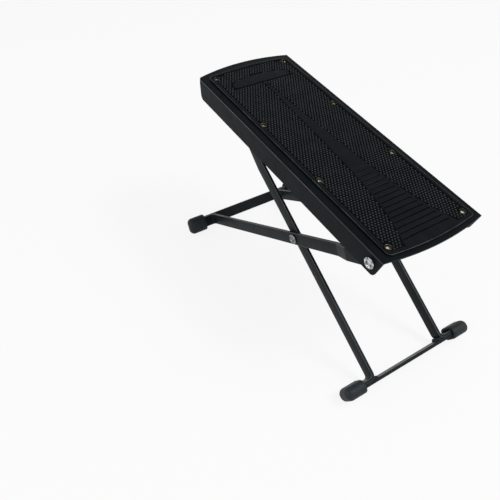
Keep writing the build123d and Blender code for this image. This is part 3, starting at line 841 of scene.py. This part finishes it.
def eyelets():
    """The eight mat rivets as one piece: tarnished rings, and bores in far brighter metal, a painted
    highlight.
    """
    points, faces, in_bore = eyelet()
    places = rivet_places()
    points, faces = joined([(points + [x, y, tread_z + rivet_seat], faces) for x, y in places])
    piece = make_piece("tread_eyelets", on_plate(points), faces, rivet_metal, "plate")
    # The bores take the brighter metal: a painted highlight
    piece.data.materials.append(bore_highlight_metal)
    piece.data.polygons.foreach_set("material_index", np.tile(in_bore, len(places)))
    keep_edges(piece, 60)
    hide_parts("mat_rivets")


def across(points, side, y):
    """A part revolved about Z, turned so that its Z runs outwards across the width, from y."""
    return np.stack([points[:, 0] * side, (points[:, 2] + y) * side, points[:, 1]], -1)


def pivot_pin(shank, head, height, length, tail, tail_height):
    """Formed rivet: rounded rim, steep step down to a flat dish in the head with a low boss in its
    middle, plain shank and a domed tail."""
    sweep = np.linspace(0, np.pi / 2, 7)
    edge = height * head_round_share
    rim = np.stack([head - edge + edge * np.cos(sweep), height - edge + edge * np.sin(sweep)], -1)
    inward = np.linspace(head - edge, 0, 24)[1:]
    dish_edge = head - edge - ledge_share * head
    step = smooth_step((dish_edge - inward) / (dish_slope_share * head))
    boss = boss_height_share * smooth_step((boss_share * head - inward) / (boss_slope_share * head))
    bowl = np.stack([inward, height - head_dish * (step - boss)], -1)
    tail_edge = tail_height * tail_round_share
    tail_rim = np.stack([tail - tail_edge + tail_edge * np.sin(sweep),
                         -length - tail_height + tail_edge - tail_edge * np.cos(sweep)], -1)
    below = np.array([[0, -length - tail_height]])
    stem = np.array([[tail, -length], [shank, -length], [shank, 0], [head, 0]])
    return revolved(np.concatenate([below, tail_rim, stem, rim, bowl]), steps=72)


def pins():
    """Hinge rivets through the flanges and scissor rivets through the crossing legs."""
    hinge_stack = half_width - (outer_upper_face - bar_thick - side_clearance)
    scissor_stack = outer_lower_face - (inner_face - bar_thick - side_clearance)
    hinge_pin = pivot_pin(
        pivot_shank, pivot_head, pivot_head_height, hinge_stack, pivot_tail, pivot_tail_height)
    scissor_pin = pivot_pin(
        scissor_shank, scissor_head, scissor_head_height, scissor_stack, scissor_tail, scissor_tail_height)
    kinds = (
        ("hinge", "pivot", hinge_pin, 0, half_width, on_plate, hinge_zinc, "plate"),
        ("cross", "scissor", scissor_pin, -hinge_to_scissor, outer_lower_face, on_outer, cross_zinc,
         "outer_frame"),
    )
    for side, hand in ((-1, "left"), (1, "right")):
        for word, node, (points, faces), x, y, place, zinc, body in kinds:
            shaped = place(across(points, side, y) + [x, 0, 0])
            piece = make_piece(f"{word}_rivet_{hand}", shaped, handed(faces, side), zinc, body)
            keep_edges(piece, 50)
            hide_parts(f"{node}_rivet_{hand}")


# Bent bars of the frames

def bent_path(corners, radii, steps=9):
    """Middle line through the corners, each inner corner an arc that touches both its sides: points
    and the directions there. An arc's point is its centre plus the radius turned from side to side."""
    sides = np.diff(corners, axis=0)
    sides = sides / np.linalg.norm(sides, axis=1)[:, None]
    points, directions = [corners[:1]], [sides[:1]]
    for corner, before, after, radius in zip(corners[1:-1], sides[:-1], sides[1:], radii):
        side = np.sign(before[0] * after[1] - before[1] * after[0])
        turn = np.arccos(np.clip(before @ after, -1, 1))
        inward = side * np.array([-before[1], before[0]])
        start = corner - before * radius * np.tan(turn / 2)
        angle = np.linspace(0, turn, steps)[:, None]
        points.append(start + radius * (inward * (1 - np.cos(angle)) + before * np.sin(angle)))
        directions.append(before * np.cos(angle) + inward * np.sin(angle))
    points.append(corners[-1:])
    directions.append(sides[-1:])
    return np.concatenate(points), np.concatenate(directions)


def flat_bar(corners, radii):
    """A rounded rectangle carried along the middle line in the XY plane. Over the first stations its
    width follows a half circle, which gives the bar its round eye end. Also tells which faces lie on
    the rounded edges."""
    points, directions = bent_path(corners, radii)
    eye = bar_width / 2
    turn = np.linspace(eye_start, np.pi / 2, 14)
    along = eye * (1 - np.cos(turn))
    points = np.concatenate([points[0] + directions[0] * along[:, None], points[1:]])
    directions = np.concatenate([np.repeat(directions[:1], len(along), 0), directions[1:]])
    share = np.concatenate([np.sin(turn), np.ones(len(points) - len(along))])
    edge_steps = 4
    section = rounded_rectangle(bar_thick / 2, bar_width / 2, bar_edge, 1, 1, edge_steps)
    normals = np.stack([-directions[:, 1], directions[:, 0]], -1)
    flat = points[:, None, :] + normals[:, None, :] * section[None, :, :1]
    height = share[:, None] * section[None, :, 1]
    shape, faces = loft(np.concatenate([flat, height[..., None]], -1))
    on_edge = np.arange(len(faces)) % (edge_steps + 1) != 0
    on_edge[-2:] = False
    return shape, faces, on_edge.astype(int)


def legs():
    """The four legs: hinge or rod eye, joggle, long straight and the outward bend to the foot tab."""
    middle = bar_thick / 2
    highest = setting_angle - joints["outer_fold"]["range_deg"][0]
    to_rod = hinge_to_scissor * sin(radians(highest)) / sin(radians(inner_share * highest))
    outer_foot = hinge_to_scissor + outer_foot_reach - middle
    inner_foot = inner_foot_reach - middle
    upper, lower = outer_upper_face - middle, outer_lower_face - middle
    outer = np.array([
        (bar_width / 2, upper), (-joggle_start, upper), (-joggle_end, lower), (-outer_foot, lower),
        (-outer_foot, outer_lower_face + tab_reach)])
    rod_end, straight = inner_face - rod_stand_off - middle, inner_face - middle
    inner = np.array([
        (-to_rod - bar_width / 2, rod_end), (-rod_joggle_end, rod_end), (-rod_joggle_start, straight),
        (inner_foot, straight), (inner_foot, inner_face + tab_reach)])
    shapes = (
        ("outer", flat_bar(outer, (joggle_radius, joggle_radius, tab_bend)), on_outer),
        ("inner", flat_bar(inner, (rod_joggle_radius, rod_joggle_radius, tab_bend)), on_inner),
    )
    for word, (points, faces, on_edge), place in shapes:
        for side, hand in ((-1, "left"), (1, "right")):
            shaped = place(points * [1, side, 1])
            piece = make_piece(
                f"{word}_bar_{hand}", shaped, handed(faces, side), frame_paint, f"{word}_frame")
            # The rounded edges take the paler enamel, a painted highlight
            piece.data.materials.append(edge_highlight_paint)
            piece.data.polygons.foreach_set("material_index", on_edge)
            keep_edges(piece, 50)
            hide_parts(f"{word}_leg_{hand}")


# Rubber feet

def rubber_foot():
    """Moulded sleeve along +Y from its mouth: a rounded rectangle drawn in at the mouth's lip and,
    along a quarter circle, over the domed end. A station is (drawn in by, distance from the mouth)."""
    lip = np.array([[3.4, 1.2], [2.6, 1.0], [2.0, 0.0], [0.8, 0.0], [0.25, 0.2], [0.0, 0.8]]) * mm
    body = np.array([[0, 5 * mm], [0, 10 * mm], [0, foot_length - foot_dome]])
    sweep = np.linspace(0, np.pi / 2, 9)[1:]
    dome = np.stack([foot_dome * (1 - np.cos(sweep)), foot_length - foot_dome * (1 - np.sin(sweep))], -1)
    loops = []
    for inset, y in np.concatenate([lip, body, dome]):
        corner = max(foot_round - inset, foot_least_round)
        section = rounded_rectangle(foot_thick / 2 - inset, foot_wide / 2 - inset, corner, 3, 6, 12)
        loops.append(np.column_stack([section[:, 0], np.full(len(section), y), section[:, 1]]))
    points, faces = loft(np.stack(loops))
    return points, [face[::-1] for face in faces]


def feet():
    """Two feet on each frame, pushed over the ends of the crossbars."""
    places = (
        ("outer", outer_lower_face + foot_offset, -(hinge_to_scissor + outer_foot_reach), on_outer),
        ("inner", inner_face + foot_offset, inner_foot_reach, on_inner),
    )
    points, faces = rubber_foot()
    for word, mouth, x, place in places:
        for side, hand in ((-1, "left"), (1, "right")):
            shaped = place((points + [x, mouth, 0]) * [1, side, 1])
            piece = make_piece(
                f"{word}_rubber_{hand}", shaped, handed(faces, side), foot_rubber, f"{word}_frame")
            keep_edges(piece, 50)
            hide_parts(f"{word}_foot_{hand}")


# Stage, lights and camera

def plainly_seen(tree):
    """1 for a ray from the camera, a gloss or glass, and 0 for the light on the object."""
    rays = tree.nodes.new("ShaderNodeLightPath")
    seen = rays.outputs["Is Camera Ray"]
    for kind in ("Is Glossy Ray", "Is Transmission Ray"):
        either = tree.nodes.new("ShaderNodeMath")
        either.operation = "MAXIMUM"
        tree.links.new(seen, either.inputs[0])
        tree.links.new(rays.outputs[kind], either.inputs[1])
        seen = either.outputs["Value"]
    return seen


def floor():
    """Pale floor under the rubber feet; seen directly or in a gloss it is white, with a soft shadow."""
    corners = np.array([[-1, -1, 0], [1, -1, 0], [1, 1, 0], [-1, 1, 0]]) * floor_reach
    mesh = bpy.data.meshes.new("studio_floor")
    mesh.from_pydata(corners.tolist(), [], [[0, 1, 2, 3]])
    material = bpy.data.materials.new("studio_floor")
    material.use_nodes = True
    tree = material.node_tree
    shader = tree.nodes["Principled BSDF"]
    shader.inputs["Base Color"].default_value = floor_colour
    shader.inputs["Roughness"].default_value = floor_roughness
    shader.inputs["Specular IOR Level"].default_value = 0
    white = tree.nodes.new("ShaderNodeEmission")
    white.inputs["Strength"].default_value = 1
    pale = tree.nodes.new("ShaderNodeMixShader")
    pale.inputs["Fac"].default_value = floor_white_share
    tree.links.new(shader.outputs["BSDF"], pale.inputs[1])
    tree.links.new(white.outputs["Emission"], pale.inputs[2])
    choose = tree.nodes.new("ShaderNodeMixShader")
    tree.links.new(plainly_seen(tree), choose.inputs["Fac"])
    tree.links.new(shader.outputs["BSDF"], choose.inputs[1])
    tree.links.new(pale.outputs["Shader"], choose.inputs[2])
    tree.links.new(choose.outputs["Shader"], tree.nodes["Material Output"].inputs["Surface"])
    mesh.materials.append(material)
    piece = bpy.data.objects.new("studio_floor", mesh)
    bpy.context.scene.collection.objects.link(piece)


def world():
    """Even, weak light from all round; seen directly or in a gloss it is a pale backdrop that
    darkens overhead, as a studio's ceiling does."""
    scene_world = bpy.data.worlds.new("studio")
    scene_world.use_nodes = True
    tree = scene_world.node_tree
    place = tree.nodes.new("ShaderNodeTexCoord")
    parts = tree.nodes.new("ShaderNodeSeparateXYZ")
    tree.links.new(place.outputs["Generated"], parts.inputs["Vector"])
    ceiling = tree.nodes.new("ShaderNodeMapRange")
    ceiling.inputs["From Min"].default_value = backdrop_top
    ceiling.inputs["From Max"].default_value = ceiling_start
    ceiling.inputs["To Min"].default_value = backdrop_strength
    ceiling.inputs["To Max"].default_value = ceiling_strength
    tree.links.new(parts.outputs["Z"], ceiling.inputs["Value"])
    strength = tree.nodes.new("ShaderNodeMapRange")
    strength.inputs["To Min"].default_value = ambient_strength
    tree.links.new(ceiling.outputs["Result"], strength.inputs["To Max"])
    tree.links.new(plainly_seen(tree), strength.inputs["Value"])
    background = tree.nodes["Background"]
    background.inputs["Color"].default_value = (1, 1, 1, 1)
    tree.links.new(strength.outputs["Result"], background.inputs["Strength"])
    bpy.context.scene.world = scene_world


def soft_box(name, place, aim, size, power):
    """A square area lamp at place, turned to aim."""
    lamp = bpy.data.lights.new(name, "AREA")
    lamp.shape = "SQUARE"
    lamp.size = size
    lamp.energy = power
    piece = bpy.data.objects.new(name, lamp)
    piece.location = place
    piece.rotation_euler = (Vector(aim) - Vector(place)).to_track_quat("-Z", "Y").to_euler()
    bpy.context.scene.collection.objects.link(piece)


def lights():
    """A large soft lamp high on the camera's right, and two weak ones on its left."""
    aim = (0.0, 0.0, 0.1)
    soft_box("key_box", (0.9, 0.85, 1.75), aim, size=0.9, power=25)
    soft_box("fill_box", (0.1, -1.6, 0.85), aim, size=0.7, power=6)
    soft_box("edge_box", (-1.3, -1.5, 0.45), aim, size=0.6, power=4)


def camera():
    """The photograph's view: aimed at a point fixed to the hinge, with a slight roll."""
    azimuth, elevation = radians(camera_azimuth), radians(camera_elevation)
    look = Vector((cos(azimuth) * cos(elevation), sin(azimuth) * cos(elevation), sin(elevation)))
    lens = bpy.data.cameras.new("photo_view")
    lens.sensor_width = 36
    lens.lens = camera_focal_share * lens.sensor_width
    lens.clip_start = 0.01
    lens.clip_end = 50
    piece = bpy.data.objects.new("photo_view", lens)
    place = Matrix.Translation(Vector(hinge + camera_aim) - look * camera_distance)
    level = look.to_track_quat("-Z", "Y").to_matrix().to_4x4()
    piece.matrix_world = place @ level @ Matrix.Rotation(radians(-camera_roll), 4, "Z")
    bpy.context.scene.collection.objects.link(piece)
    bpy.context.scene.camera = piece


dress_cad_nodes()
tread()
eyelets()
pins()
legs()
feet()
floor()
world()
lights()
camera()
bpy.context.scene.view_settings.view_transform = "Standard"
